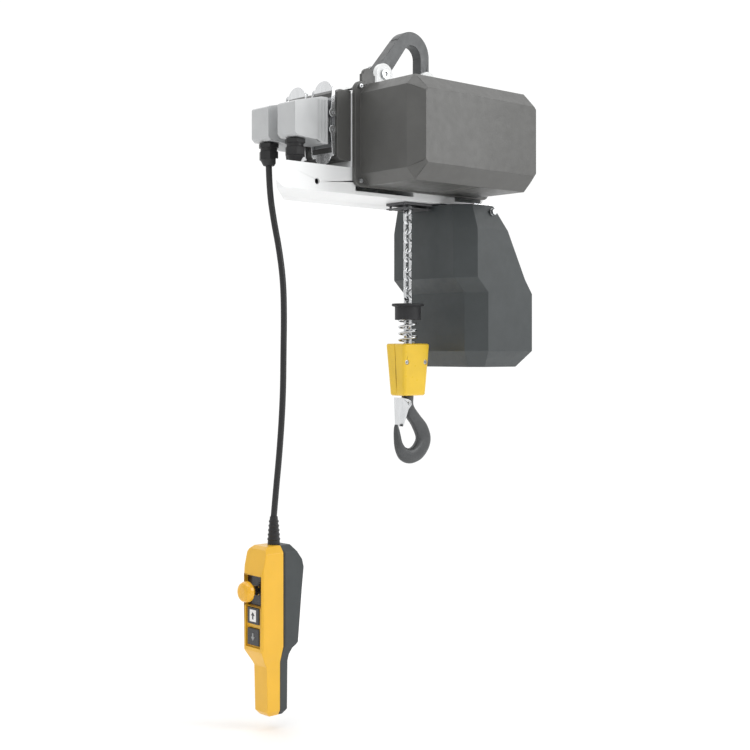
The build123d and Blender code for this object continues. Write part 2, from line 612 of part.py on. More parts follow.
def hood(y):
    """The plug half of one connector: a tapered hood, hollow, open towards its socket."""
    outline = [
        (HOOD_X[1], PLUG_Z - 47),
        (HOOD_X[1], PLUG_Z + 47),
        (HOOD_X[1] - 16, PLUG_Z + 47),
        (HOOD_X[0] + 3, PLUG_Z + 32),
        (HOOD_X[0], PLUG_Z + 29),
        (HOOD_X[0], PLUG_Z - 30),
        (HOOD_X[0] + 7, PLUG_Z - 37),
        (HOOD_X[0] + 52, PLUG_Z - 40),
        (HOOD_X[1] - 16, PLUG_Z - 47),
    ]
    side_profile(outline, (y - SIDE_Y, y + SIDE_Y))
    room = [
        (HOOD_X[1] + 1, PLUG_Z - 42),
        (HOOD_X[1] + 1, PLUG_Z + 42),
        (HOOD_X[1] - 16, PLUG_Z + 42),
        (HOOD_X[0] + 4, PLUG_Z + 27),
        (HOOD_X[0] + 4, PLUG_Z - 32),
        (HOOD_X[0] + 52, PLUG_Z - 35),
    ]
    side_profile(room, (y - SIDE_Y + 4, y + SIDE_Y - 4), Mode.SUBTRACT)
    rod_z(GLAND_X, y, (PLUG_Z - 45, PLUG_Z - 30), 11.0, Mode.SUBTRACT)
    # shallow grooves down both sides of the collar
    for x in (-268, -276, -284):
        for side in (-1, 1):
            wall = y + side * SIDE_Y
            block((x, x + 3), (wall - 1, wall + 1), (PLUG_Z - 42, PLUG_Z + 40), Mode.SUBTRACT)


def lever(y, up):
    """One locking lever: two side arms on the pegs, joined by a rounded tongue. up is +1 or -1."""
    pivot_z = PLUG_Z + up * PIVOT_RISE
    for side in (-1, 1):
        near = y + side * (SIDE_Y + 3.0)
        span = (min(near, near + side * 2.0), max(near, near + side * 2.0))
        with BuildSketch(Plane.XZ.offset(-span[1])) as arm:
            with Locations((PIVOT_X, pivot_z)):
                Circle(9)
            with BuildLine():
                Polyline(
                    (PIVOT_X - 6, pivot_z),
                    (PIVOT_X + 6, pivot_z),
                    (PIVOT_X + 5.5, pivot_z + up * 50),
                    (PIVOT_X - 1, pivot_z + up * 50),
                    close=True,
                )
            make_face()
            with Locations((PIVOT_X, pivot_z)):
                Circle(3.06, mode=Mode.SUBTRACT)
        extrude(arm.sketch, amount=2.0)
    tongue_z = pivot_z + up * 49
    with BuildSketch(Plane.YZ.offset(PIVOT_X + 1)) as tongue:
        with Locations((y, tongue_z)):
            Rectangle(2 * SIDE_Y + 10, 8)
            Ellipse(25, 19)
        with Locations((y, tongue_z - up * 24)):
            Rectangle(80, 40, mode=Mode.SUBTRACT)
    extrude(tongue.sketch, amount=2.0)


for use, plug_y in PLUG_Y.items():
    with BuildPart() as socket:
        socket_base(plug_y)
    write(socket, f"{use}_socket")
    with BuildPart() as plug_hood:
        hood(plug_y)
    write(plug_hood, f"{use}_hood")
    for place, up in (("upper", 1), ("lower", -1)):
        with BuildPart() as locking_lever:
            lever(plug_y, up)
        write(locking_lever, f"{use}_{place}_lever")

GLAND_TOP, GLAND_TIP = PLUG_Z - 33.0, -280.0


def gland(y):
    """A cable gland screwed into the underside of a hood."""
    rod_z(GLAND_X, y, (PLUG_Z - 40, GLAND_TOP), 10.9)
    hexagon((GLAND_X, y, PLUG_Z - 48.6), (0, 0, 1), 38, 8.4)
    rod_z(GLAND_X, y, (-252, PLUG_Z - 48), 17)
    hexagon((GLAND_X, y, -268), (0, 0, 1), 36, 17)
    with Locations((GLAND_X, y, (-268 + GLAND_TIP) / 2)):
        Cone(11, 17.5, -268 - GLAND_TIP, align=(Align.CENTER, Align.CENTER, Align.CENTER))


with BuildPart() as pendant_gland:
    gland(PLUG_Y["pendant"])
write(pendant_gland, "pendant_gland")

SUPPLY_BORE = 7.0
with BuildPart() as supply_gland:
    gland(PLUG_Y["supply"])
    rod_z(GLAND_X, PLUG_Y["supply"], (GLAND_TIP - 1, GLAND_TOP + 1), SUPPLY_BORE, Mode.SUBTRACT)
write(supply_gland, "supply_gland")

# ---------------------------------------------------------------- chain bucket
CORNER = 36.0  # 45 degree facet between the -X and -Y walls
STEP_Z = (-531.0, -500.0)
STEP_IN = 33.0
SKIRT_Z = -657.0


def bucket_plan(low_x, high_x, grow):
    """The bucket's plan outline with its facets, moved outwards by grow."""
    x = (low_x - grow, high_x + grow)
    y = (BUCKET_Y[0] - grow, BUCKET_Y[1] + grow)
    near, far = CORNER + grow * 0.41, 14.0
    return [
        (x[0] + near, y[0]),
        (x[1] - far, y[0]),
        (x[1], y[0] + far),
        (x[1], y[1] - far),
        (x[1] - far, y[1]),
        (x[0] + far, y[1]),
        (x[0], y[1] - far),
        (x[0], y[0] + near),
    ]


def bucket_body(grow):
    """The bucket's bowl as lofts between plan outlines at six heights."""
    levels = [
        (BUCKET_Z[1] + (0 if grow == 0 else 1), BUCKET_X[0] - 12, 168.0, grow - 12),
        (-396.0, BUCKET_X[0], 191.0, grow),
        (STEP_Z[1], BUCKET_X[0], 247.0, grow),
        (STEP_Z[0], BUCKET_X[0] + STEP_IN, 270.0, grow),
        (SKIRT_Z, BUCKET_X[0] + STEP_IN, 270.0, grow),
        (BUCKET_Z[0] + (0 if grow == 0 else BUCKET_WALL), BUCKET_X[0] + STEP_IN, 270.0, grow - 26),
    ]
    for (z_high, low_1, high_1, grow_1), (z_low, low_2, high_2, grow_2) in zip(levels, levels[1:]):
        with BuildSketch(Plane.XY.offset(z_high)) as top:
            with BuildLine():
                Polyline(*bucket_plan(low_1, high_1, grow_1), close=True)
            make_face()
        with BuildSketch(Plane.XY.offset(z_low)) as bottom:
            with BuildLine():
                Polyline(*bucket_plan(low_2, high_2, grow_2), close=True)
            make_face()
        loft([top.sketch, bottom.sketch], ruled=True)


BUCKET_BOLT = (135.0, -357.0)  # X and Z of the bolt through each end wall
with BuildPart() as bucket_room:
    bucket_body(-BUCKET_WALL)
with BuildPart() as chain_bucket:
    bucket_body(0)
    add(bucket_room.part, mode=Mode.SUBTRACT)
    rod_y(*BUCKET_BOLT, (BUCKET_Y[0] - 2, BUCKET_Y[1] + 2), 4.1, Mode.SUBTRACT)
write(chain_bucket, "chain_bucket")

HANGER_X = (100.0, 165.0)
HANGER_Y = (-102.0, 79.0)
with BuildPart() as bucket_bracket:
    block(HANGER_X, HANGER_Y, (-342.2, HOUSING_BOTTOM - 0.2))
    for y in ((HANGER_Y[0], HANGER_Y[0] + 3), (HANGER_Y[1] - 3, HANGER_Y[1])):
        block((HANGER_X[0] + 10, HANGER_X[1] - 20), y, (-372, -341))
    rod_y(*BUCKET_BOLT, (HANGER_Y[0] - 1, HANGER_Y[1] + 1), 4.1, Mode.SUBTRACT)
    for x, y in HANGER_BOLTS:
        rod_z(x, y, (-345, -330), 3.2, Mode.SUBTRACT)
write(bucket_bracket, "bucket_bracket")

with BuildPart() as bucket_bolts:
    bolt_x, bolt_z = BUCKET_BOLT
    for start, direction in ((BUCKET_Y[0] + 5.2, 1), (BUCKET_Y[1] - 5.2, -1)):
        rod((bolt_x, start, bolt_z), (0, direction, 0), 4, 26)
        rod((bolt_x, start, bolt_z), (0, direction, 0), 8, 1.6)
        hexagon((bolt_x, start - direction * 6, bolt_z), (0, direction, 0), 13, 6)
    for x, y in HANGER_BOLTS:
        rod_z(x, y, (-343, -331.5), 3)
        hexagon((x, y, -346.4), (0, 0, 1), 10, 4)
write(bucket_bolts, "bucket_bolts")

# ---------------------------------------------------------------- load chain
def fall_link(step):
    """Link number step below the wheel's tangent point. Even links lie flat in the wheel's pockets."""
    across = (0, 1, 0) if step % 2 == 0 else (1, 0, 0)
    chain_link(link_path((0, 0, WHEEL_Z - CHAIN_PITCH * step), (0, 0, 1), across))


PILE_CENTRE = (174.0, -11.0)
PILE_RADIUS, PILE_STRAIGHT = 52.0, 40.0
PILE_TOP, PILE_PITCH, PILE_TURNS = -606.0, 25.0, 2.6
DRIFT_TOP, DRIFT_BOTTOM = -400.0, -588.0


def slack_x(z):
    """The slack fall drops straight from the wheel, then drifts over towards the pile."""
    share = min(1.0, max(0.0, (DRIFT_TOP - z) / (DRIFT_TOP - DRIFT_BOTTOM)))
    end = PILE_CENTRE[0] - PILE_RADIUS
    return SLACK_X + (end - SLACK_X) * (3 * share**2 - 2 * share**3)


def pile_point(distance):
    """A point along the slack chain where it winds down in a long oval, and its outward normal."""
    lap = 2 * pi * PILE_RADIUS + 2 * PILE_STRAIGHT
    at = distance % lap
    half = PILE_STRAIGHT / 2
    arc = pi * PILE_RADIUS
    z = PILE_TOP - PILE_PITCH * distance / lap
    if at < half:
        x, y, angle = -PILE_RADIUS, -at, pi
    elif at < half + arc:
        angle = pi + (at - half) / PILE_RADIUS
        x, y = PILE_RADIUS * cos(angle), -half + PILE_RADIUS * sin(angle)
    elif at < 3 * half + arc:
        x, y, angle = PILE_RADIUS, at - arc - 2 * half, 2 * pi
    elif at < 3 * half + 2 * arc:
        angle = (at - arc - 3 * half) / PILE_RADIUS
        x, y = PILE_RADIUS * cos(angle), half + PILE_RADIUS * sin(angle)
    else:
        x, y, angle = -PILE_RADIUS, lap - at, pi
    return Vector(PILE_CENTRE[0] + x, PILE_CENTRE[1] + y, z), Vector(cos(angle), sin(angle), 0)


with BuildPart() as load_chain:
    for step in range(INNER_FALL_LINKS + 1, INNER_FALL_LINKS + 1 + FALL_LINKS):
        fall_link(step)
write(load_chain, "load_chain")

with BuildPart() as slack_chain:
    for step in range(1, INNER_FALL_LINKS + 1):
        fall_link(step)
    half_turn = WHEEL_LINKS // 2
    for step in range(half_turn + 1):
        angle = pi - 2 * pi * step / WHEEL_LINKS
        outward = (cos(angle), 0, sin(angle))
        centre = (WHEEL_X + WHEEL_APOTHEM * cos(angle), 0, WHEEL_Z + WHEEL_APOTHEM * sin(angle))
        across = (0, 1, 0) if step % 2 == 0 else outward
        chain_link(link_path(centre, (sin(angle), 0, -cos(angle)), across))
    here = Vector(SLACK_X, 0, WHEEL_Z)
    count = half_turn
    while here.Z - CHAIN_PITCH > DRIFT_BOTTOM:
        count += 1
        lower = here.Z - CHAIN_PITCH
        step_to = Vector(slack_x(lower), 0, lower)
        along = (step_to - here).normalized()
        here = here + along * CHAIN_PITCH
        across = Vector(0, 1, 0) if count % 2 == 0 else along.cross(Vector(0, 1, 0))
        chain_link(link_path(tuple(here), tuple(along), tuple(across)))
    distance = 0.0
    lap = 2 * pi * PILE_RADIUS + 2 * PILE_STRAIGHT
    while distance < PILE_TURNS * lap:
        distance += CHAIN_PITCH
        count += 1
        centre, outward = pile_point(distance)
        along = (pile_point(distance + 1)[0] - pile_point(distance - 1)[0]).normalized()
        up = along.cross(outward).normalized()
        side = up.cross(along)
        tilt = 1 if count % 2 == 0 else -1
        across = (side + up * tilt).normalized()
        chain_link(link_path(tuple(centre), tuple(along), tuple(across)))
write(slack_chain, "slack_chain")

with BuildPart() as limit_cup:
    with BuildSketch(Plane.XZ):
        with BuildLine():
            Polyline(
                (14, CUP_TOP),
                (34.5, CUP_TOP),
                (34.5, CUP_TOP - 5),
                (28, CUP_TOP - 7),
                (28, CUP_BOTTOM),
                (23, CUP_BOTTOM),
                (23, CUP_BOTTOM + 4),
                (14, CUP_BOTTOM + 4),
                close=True,
            )
        make_face()
    revolve(axis=Axis.Z)
write(limit_cup, "limit_cup")

SPRING_RADIUS, SPRING_WIRE = 19.3, 4.0
with BuildPart() as limit_spring:
    helix_coil(0, 0, (BLOCK_TOP + 0.3, CUP_BOTTOM + 3.7), SPRING_RADIUS, SPRING_WIRE, 3.6)
write(limit_spring, "limit_spring")

# ---------------------------------------------------------------- hook block
SHANK = 9.0
NUT_Z = (-729.0, -713.0)
BEARING_Z = (-740.5, -729.5)
ANCHOR_PIN_Z = ANCHOR_Z - (CHAIN_PITCH + 0.3) / 2 + 3.7
BLOCK_SCREW_Z, BLOCK_SCREW_X = -681.0, 27.0


def block_half(front):
    """One half shell of the hook block, split on the plane Y = 0. front is True for the -Y half."""
    with BuildSketch(Plane.XY.offset(BLOCK_TOP)) as top:
        RectangleRounded(78, 60, 7)
    with BuildSketch(Plane.XY.offset(BLOCK_BOTTOM)) as bottom:
        RectangleRounded(64, 47, 7)
    loft([top.sketch, bottom.sketch], ruled=True)
    chamfer(faces().sort_by(Axis.Z)[-1].edges(), 3)
    chamfer(faces().sort_by(Axis.Z)[0].edges(), 3)
    rod_z(0, 0, (BLOCK_TOP - 55, BLOCK_TOP + 1), 13, Mode.SUBTRACT)
    rod_z(0, 0, (BEARING_Z[0] - 0.2, BLOCK_TOP - 50), 17.6, Mode.SUBTRACT)
    rod_z(0, 0, (BLOCK_BOTTOM - 1, BEARING_Z[0]), SHANK + 0.08, Mode.SUBTRACT)
    rod_y(0, ANCHOR_PIN_Z, (-22, 22), 3.5, Mode.SUBTRACT)
    for x in (-BLOCK_SCREW_X, BLOCK_SCREW_X):
        rod_y(x, BLOCK_SCREW_Z, (-40, 22), 2.6, Mode.SUBTRACT)
        rod_y(x, BLOCK_SCREW_Z, (-40, -21), 5.2, Mode.SUBTRACT)
    away = (0, 40) if front else (-40, 0)
    block((-50, 50), away, (BLOCK_BOTTOM - 5, BLOCK_TOP + 5), Mode.SUBTRACT)


for side_name, is_front in (("front", True), ("rear", False)):
    with BuildPart() as half:
        block_half(is_front)
    write(half, f"hook_block_{side_name}")

with BuildPart() as block_screws:
    for x in (-BLOCK_SCREW_X, BLOCK_SCREW_X):
        socket_screw((x, -21, BLOCK_SCREW_Z), (0, 1, 0), 4.8, 5, 2.5, 41, 4)
write(block_screws, "block_screws")

with BuildPart() as chain_anchor_pin:
    rod_y(0, ANCHOR_PIN_Z, (-21.5, 21.5), 3.4)
write(chain_anchor_pin, "chain_anchor_pin")


def ring_z(z, inner, outer):
    """A plain ring round the chain's line."""
    rod_z(0, 0, z, outer)
    rod_z(0, 0, (z[0] - 1, z[1] + 1), inner, Mode.SUBTRACT)


with BuildPart() as thrust_bearing:
    ring_z(BEARING_Z, SHANK + 0.3, 17.3)
write(thrust_bearing, "thrust_bearing")

with BuildPart() as hook_nut:
    hexagon((0, 0, NUT_Z[0]), (0, 0, 1), 27, NUT_Z[1] - NUT_Z[0])
    rod_z(0, 0, (NUT_Z[0] - 1, NUT_Z[1] + 1), SHANK + 0.02, Mode.SUBTRACT)
write(hook_nut, "hook_nut")

# ---------------------------------------------------------------- load hook
HOOK_THICK = 20.0
BOWL = (2.0, -842.5)
BOWL_RADIUS = -HOOK_SEAT + BOWL[1]
LATCH_PIVOT = (-7.0, -769.0)
LATCH_SHEET, LATCH_HALF = 2.0, 13.0

with BuildPart() as load_hook:
    with BuildSketch(Plane.XZ):
        with BuildLine():
            back = Spline(
                (11, -757), (14, -775), (33, -796), (55, -818), (66, -845), (60, -870),
                (38, -892), (6, -900.5), (-20, -892), (-34, -871), (-38.5, -845), (-37, -816),
            )
            tip = ThreePointArc(back @ 1, (-33.5, -812.5), (-30.5, -816))
            mouth = Spline(
                tip @ 1,
                (-27.5, -833),
                (-22.5, -842.5),
                tangents=[(0.1, -1), (0, -1)],
                tangent_scalars=[1, 0.6],
            )
            bowl = ThreePointArc(mouth @ 1, (BOWL[0], HOOK_SEAT), (BOWL[0] + BOWL_RADIUS, BOWL[1]))
            throat = Spline(bowl @ 1, (18, -824), (2, -806), (-7, -790), (-11, -757))
            Line(throat @ 1, back @ 0)
        make_face()
    extrude(amount=HOOK_THICK / 2, both=True)
    rod_z(0, 0, (-762, BLOCK_BOTTOM - 0.5), 12)
    rod_z(0, 0, (BLOCK_BOTTOM - 1, NUT_Z[1] + 6), SHANK)
    rod_y(*LATCH_PIVOT, (-14, 14), 2.55, Mode.SUBTRACT)
write(load_hook, "load_hook")

with BuildPart() as latch_pin:
    rod_y(*LATCH_PIVOT, (-LATCH_HALF - 1.5, LATCH_HALF + 1.5), 2.5)
    for y in ((-LATCH_HALF - 2.5, -LATCH_HALF - 0.3), (LATCH_HALF + 0.3, LATCH_HALF + 2.5)):
        rod_y(*LATCH_PIVOT, y, 4)
write(latch_pin, "latch_pin")

with BuildPart() as hook_latch:
    cheek = [(-29, -757), (-12, -760), (-2, -764), (0, -772), (-10, -783), (-23, -815), (-26, -819)]
    side_profile(cheek, (-LATCH_HALF, LATCH_HALF))
    side_profile(
        [(-26.8, -740), (10, -740), (10, -830), (-23.8, -830)],
        (LATCH_SHEET - LATCH_HALF, LATCH_HALF - LATCH_SHEET),
        Mode.SUBTRACT,
    )
    rod_y(*LATCH_PIVOT, (-20, 20), 2.56, Mode.SUBTRACT)
write(hook_latch, "hook_latch")

with BuildPart() as latch_spring:
    for y in (-10.95, 10.15):
        rod_y(*LATCH_PIVOT, (y, y + 0.8), 4.2)
        rod_y(*LATCH_PIVOT, (y - 1, y + 2), 2.6, Mode.SUBTRACT)
write(latch_spring, "latch_spring")

# ---------------------------------------------------------------- pendant cable
CABLE_SHARE = 0.45


def corner_radii(route):
    """The largest arc that each inner point of a route leaves room for."""
    radii = []
    for before, point, after in zip(route, route[1:], route[2:]):
        incoming = Vector(*point) - Vector(*before)
        outgoing = Vector(*after) - Vector(*point)
        turn = radians(incoming.get_angle(outgoing))
        radii.append(CABLE_SHARE * min(incoming.length, outgoing.length) / tan(turn / 2))
    return radii


cable_radii = corner_radii(CABLE_ROUTE)
print("cable arc radii", [round(radius) for radius in cable_radii])
with BuildPart() as pendant_cable:
    with BuildLine() as cable_path:
        FilletPolyline(*CABLE_ROUTE, radius=cable_radii)
    with BuildSketch(Plane(origin=cable_path.line @ 0, z_dir=cable_path.line % 0)):
        Circle(CABLE_RADIUS)
    sweep(path=cable_path.line)
cable_length = sum(edge.length for edge in cable_path.edges())
cable_volume = pi * CABLE_RADIUS**2 * cable_length
volume_share = round(pendant_cable.part.volume / cable_volume, 4)
print("cable length", round(cable_length, 1), "volume share", volume_share)
write(pendant_cable, "pendant_cable")

# ---------------------------------------------------------------- control pendant
SPLIT_X = HAND_X


def hand_front_view(grow, x):
    """The pendant's outline seen from the front, as a prism along X."""
    half = HAND_WIDTH / 2 + grow
    outline = [
        (22 + grow, HAND_TOP + grow),
        (half, HAND_TOP - 14),
        (half, -1256),
        (21.5 + grow, -1289),
        (21 + grow, HAND_BOTTOM + 9),
        (16 + grow, HAND_BOTTOM - grow),
    ]
    points = [(HAND_Y + y, z) for y, z in outline] + [(HAND_Y - y, z) for y, z in reversed(outline)]
    with BuildSketch(Plane.YZ.offset(x[0])) as face:
        with BuildLine():
            Polyline(*points, close=True)
        make_face()
    extrude(face.sketch, amount=x[1] - x[0], mode=Mode.INTERSECT)


def hand_prism(outline):
    """A side outline as wide as the pendant."""
    side_profile(outline, (HAND_Y - HAND_WIDTH, HAND_Y + HAND_WIDTH))


BUTTON_Y = (HAND_Y - 19.0, HAND_Y + 19.0)
FLOOR_X = -352.0  # floor of the emergency-stop recess
WELL_X = -356.0  # floor of the button recess
INNER_X = -347.0

with BuildPart() as pendant_front:
    hand_prism([
        (SPLIT_X - 0.1, HAND_TOP), (-341, HAND_TOP), (-350, -1058), (HAND_FRONT, -1108),
        (HAND_FRONT, -1262), (-342, -1296), (-340, -1388), (-332, HAND_BOTTOM), (SPLIT_X - 0.1, HAND_BOTTOM),
    ])
    hand_front_view(0, (-370, -300))
    chamfer(pendant_front.edges().filter_by(Axis.Z).group_by(Axis.X)[0], 4)
    block((-364, FLOOR_X), (HAND_Y - 28, HAND_Y + 28), (ESTOP_Z - 31, ESTOP_Z + 31), Mode.SUBTRACT)
    block((-364, WELL_X), (HAND_Y - 24, HAND_Y + 24), (DOWN_Z - 21, UP_Z + 18), Mode.SUBTRACT)
    block((INNER_X, SPLIT_X + 1), (HAND_Y - 28, HAND_Y + 28), (-1255, -1064), Mode.SUBTRACT)
    block((-336, SPLIT_X + 1), (HAND_Y - 17, HAND_Y + 17), (-1386, -1290), Mode.SUBTRACT)
    rod((-364, HAND_Y, ESTOP_Z), (1, 0, 0), 9.0, 20, Mode.SUBTRACT)
    for z in (UP_Z, DOWN_Z):
        opening_y = (BUTTON_Y[0] - 0.3, BUTTON_Y[1] + 0.3)
        block((-364, INNER_X + 1), opening_y, (z - 17.3, z + 17.3), Mode.SUBTRACT)
write(pendant_front, "pendant_front")

with BuildPart() as pendant_rear:
    hand_prism([
        (SPLIT_X + 0.1, HAND_TOP), (-283, HAND_TOP), (-259, -1084), (HAND_BACK + 1, -1100),
        (-260, -1145), (-270, -1252), (-283, -1262), (-289, -1275), (-290, -1388), (-299, HAND_BOTTOM),
        (SPLIT_X + 0.1, HAND_BOTTOM),
    ])
    hand_front_view(0, (-320, -250))
    chamfer(pendant_rear.edges().filter_by(Axis.Z).group_by(Axis.X)[-1], 5)
    block((SPLIT_X - 1, -274), (HAND_Y - 28, HAND_Y + 28), (-1245, -1064), Mode.SUBTRACT)
    block((SPLIT_X - 1, -294), (HAND_Y - 17, HAND_Y + 17), (-1386, -1290), Mode.SUBTRACT)
write(pendant_rear, "pendant_rear")

BOOT_TOP = CABLE_ROUTE[-1][2]
with BuildPart() as pendant_boot:
    with BuildSketch(Plane.XZ):
        with BuildLine():
            Polyline((0, BOOT_TOP), (8, BOOT_TOP), (13, HAND_TOP), (0, HAND_TOP), close=True)
        make_face()
    revolve(axis=Axis.Z)
    for ring in range(5):
        height = BOOT_TOP - 8 - ring * 9
        with BuildSketch(Plane.XY.offset(height)) as rib:
            Circle(10.2 + ring * 0.75)
        extrude(rib.sketch, amount=-4)
pendant_boot.part.position = (HAND_X, HAND_Y, 0)
write(pendant_boot, "pendant_boot")

HEAD_X = (-390.0, -372.0)
with BuildPart() as estop_plunger:
    rod((HEAD_X[0] + 9, HAND_Y, ESTOP_Z), (1, 0, 0), 8.94, -342 - HEAD_X[0] - 9)
write(estop_plunger, "estop_plunger")

with BuildPart() as estop_head:
    with BuildSketch(Plane.XY):
        with BuildLine():
            Polyline((9.0, -364), (12.5, -364), (14, HEAD_X[1]), (20, HEAD_X[1]), (21, HEAD_X[1] - 2),
                     (21, HEAD_X[1] - 8), (18, HEAD_X[0] + 3), (12, HEAD_X[0]), (0, HEAD_X[0]),
                     (0, HEAD_X[0] + 8.5), (9.0, HEAD_X[0] + 8.5), close=True)
        make_face()
    revolve(axis=Axis.Y)
estop_head.part.locate(Location((0, HAND_Y, ESTOP_Z), (0, 0, 1), -90))
write(estop_head, "estop_head")


def push_button(z):
    """One travel button with the lip that keeps it in the shell."""
    block((-361, -342), BUTTON_Y, (z - 17, z + 17))
    block((INNER_X + 0.3, INNER_X + 3), (BUTTON_Y[0] - 3, BUTTON_Y[1] + 3), (z - 19, z + 19))


for button_name, button_z in (("up_button", UP_Z), ("down_button", DOWN_Z)):
    with BuildPart() as button:
        push_button(button_z)
        chamfer(button.faces().sort_by(Axis.X)[0].edges(), 1.2)
    write(button, button_name)

with BuildPart() as contact_block:
    block((-331, -310), (HAND_Y - 22, HAND_Y + 22), (-1248, -1118))
    for z in (UP_Z, DOWN_Z):
        block((-336, -331), (HAND_Y - 12, HAND_Y - 4), (z - 10, z + 10))
write(contact_block, "contact_block")
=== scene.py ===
"""Electric chain hoist: paint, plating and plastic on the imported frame, with soft edges and a forged hook.

Everything is in metres in the row frame: the origin is the bracket's inner seat, +Z is up, the
electrical cover faces -Y and the plug-in connectors face -X.
"""

import json
from math import cos, copysign, pi, radians, sin

import bmesh
import bpy
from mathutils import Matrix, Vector


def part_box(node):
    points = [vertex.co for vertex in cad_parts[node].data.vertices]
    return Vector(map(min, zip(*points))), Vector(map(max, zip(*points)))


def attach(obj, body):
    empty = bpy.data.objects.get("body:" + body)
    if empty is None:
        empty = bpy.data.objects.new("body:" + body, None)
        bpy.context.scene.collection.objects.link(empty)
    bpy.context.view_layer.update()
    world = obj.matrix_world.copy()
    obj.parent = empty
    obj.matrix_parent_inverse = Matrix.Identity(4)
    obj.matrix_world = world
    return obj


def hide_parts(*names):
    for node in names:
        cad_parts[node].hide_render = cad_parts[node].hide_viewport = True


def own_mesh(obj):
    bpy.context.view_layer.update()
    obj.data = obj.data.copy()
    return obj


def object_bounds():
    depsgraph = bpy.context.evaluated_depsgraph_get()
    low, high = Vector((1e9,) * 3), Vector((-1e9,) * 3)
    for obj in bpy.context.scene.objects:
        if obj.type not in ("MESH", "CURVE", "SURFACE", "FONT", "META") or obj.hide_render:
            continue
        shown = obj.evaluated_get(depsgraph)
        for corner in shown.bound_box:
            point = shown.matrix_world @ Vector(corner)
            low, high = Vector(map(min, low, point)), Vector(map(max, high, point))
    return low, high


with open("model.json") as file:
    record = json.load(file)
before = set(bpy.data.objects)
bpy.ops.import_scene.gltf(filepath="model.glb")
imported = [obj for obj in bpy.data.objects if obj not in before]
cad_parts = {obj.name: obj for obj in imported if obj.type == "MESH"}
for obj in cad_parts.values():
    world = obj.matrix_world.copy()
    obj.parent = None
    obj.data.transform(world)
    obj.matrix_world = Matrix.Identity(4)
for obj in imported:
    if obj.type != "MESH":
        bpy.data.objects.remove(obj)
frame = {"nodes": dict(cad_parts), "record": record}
cad_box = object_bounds()
nodes = frame["nodes"]
MM = 0.001


# ---------------------------------------------------------------- camera
CAMERA_PLACE = (-1.960, -2.071, -0.655)
CAMERA_HEADING = (0.669, 0.743, 0.0)
SENSOR_MM, LENS_MM = 36.0, 63.36
LENS_SHIFT = -0.0333


def add_camera():
    """The photograph's view: level, from the front left, about a third of the way down the hoist."""
    lens = bpy.data.cameras.new("photo_view")
    lens.sensor_width = SENSOR_MM
    lens.lens = LENS_MM
    lens.shift_y = LENS_SHIFT
    camera = bpy.data.objects.new("photo_view", lens)
    camera.location = CAMERA_PLACE
    camera.rotation_euler = Vector(CAMERA_HEADING).to_track_quat("-Z", "Y").to_euler()
    bpy.context.scene.collection.objects.link(camera)
    bpy.context.scene.camera = camera


add_camera()
bpy.context.scene.view_settings.view_transform = "Standard"


# ---------------------------------------------------------------- materials
def noise(tree, coords, scale, detail=3.0, roughness=0.55):
    """A noise texture on the given coordinates."""
    texture = tree.nodes.new("ShaderNodeTexNoise")
    texture.inputs["Scale"].default_value = scale
    texture.inputs["Detail"].default_value = detail
    texture.inputs["Roughness"].default_value = roughness
    tree.links.new(coords, texture.inputs["Vector"])
    return texture


def remap(tree, source, low, high):
    """The middle of a noise's range spread over low to high."""
    node = tree.nodes.new("ShaderNodeMapRange")
    node.inputs["From Min"].default_value = 0.3
    node.inputs["From Max"].default_value = 0.7
    node.inputs["To Min"].default_value = low
    node.inputs["To Max"].default_value = high
    tree.links.new(source, node.inputs["Value"])
    return node.outputs["Result"]


def surface(name, colour, finish):
    """A material with a mottled colour, a varied gloss and a fine relief."""
    material = bpy.data.materials.new(name)
    material.use_nodes = True
    tree = material.node_tree
    shader = tree.nodes["Principled BSDF"]
    shader.inputs["Metallic"].default_value = finish.get("metallic", 0.0)
    shader.inputs["Coat Weight"].default_value = finish.get("coat", 0.0)
    shader.inputs["Coat Roughness"].default_value = 0.12

    place = tree.nodes.new("ShaderNodeTexCoord")
    stretch = tree.nodes.new("ShaderNodeMapping")
    stretch.inputs["Scale"].default_value = finish.get("stretch", (1.0, 1.0, 1.0))
    tree.links.new(place.outputs["Object"], stretch.inputs["Vector"])
    coords = stretch.outputs["Vector"]

    broad = noise(tree, coords, finish.get("patch_scale", 22.0), 5.0)
    tint = tree.nodes.new("ShaderNodeMix")
    tint.data_type = "RGBA"
    spread = finish.get("mottle", 0.05)
    tint.inputs["A"].default_value = (*(channel * (1 - spread) for channel in colour), 1.0)
    tint.inputs["B"].default_value = (*(min(1.0, channel * (1 + spread)) for channel in colour), 1.0)
    tree.links.new(remap(tree, broad.outputs["Fac"], 0.0, 1.0), tint.inputs["Factor"])
    tree.links.new(tint.outputs["Result"], shader.inputs["Base Color"])

    gloss = noise(tree, coords, finish.get("gloss_scale", 60.0), 4.0)
    rough, vary = finish["roughness"], finish.get("vary", 0.06)
    rough_value = remap(tree, gloss.outputs["Fac"], rough - vary, rough + vary)
    tree.links.new(rough_value, shader.inputs["Roughness"])

    fine = noise(tree, coords, finish.get("grain_scale", 700.0), 2.0)
    relief = tree.nodes.new("ShaderNodeBump")
    relief.inputs["Strength"].default_value = finish.get("grain", 0.12)
    relief.inputs["Distance"].default_value = finish.get("grain_depth", 0.0003)
    tree.links.new(fine.outputs["Fac"], relief.inputs["Height"])
    tree.links.new(relief.outputs["Normal"], shader.inputs["Normal"])
    return material


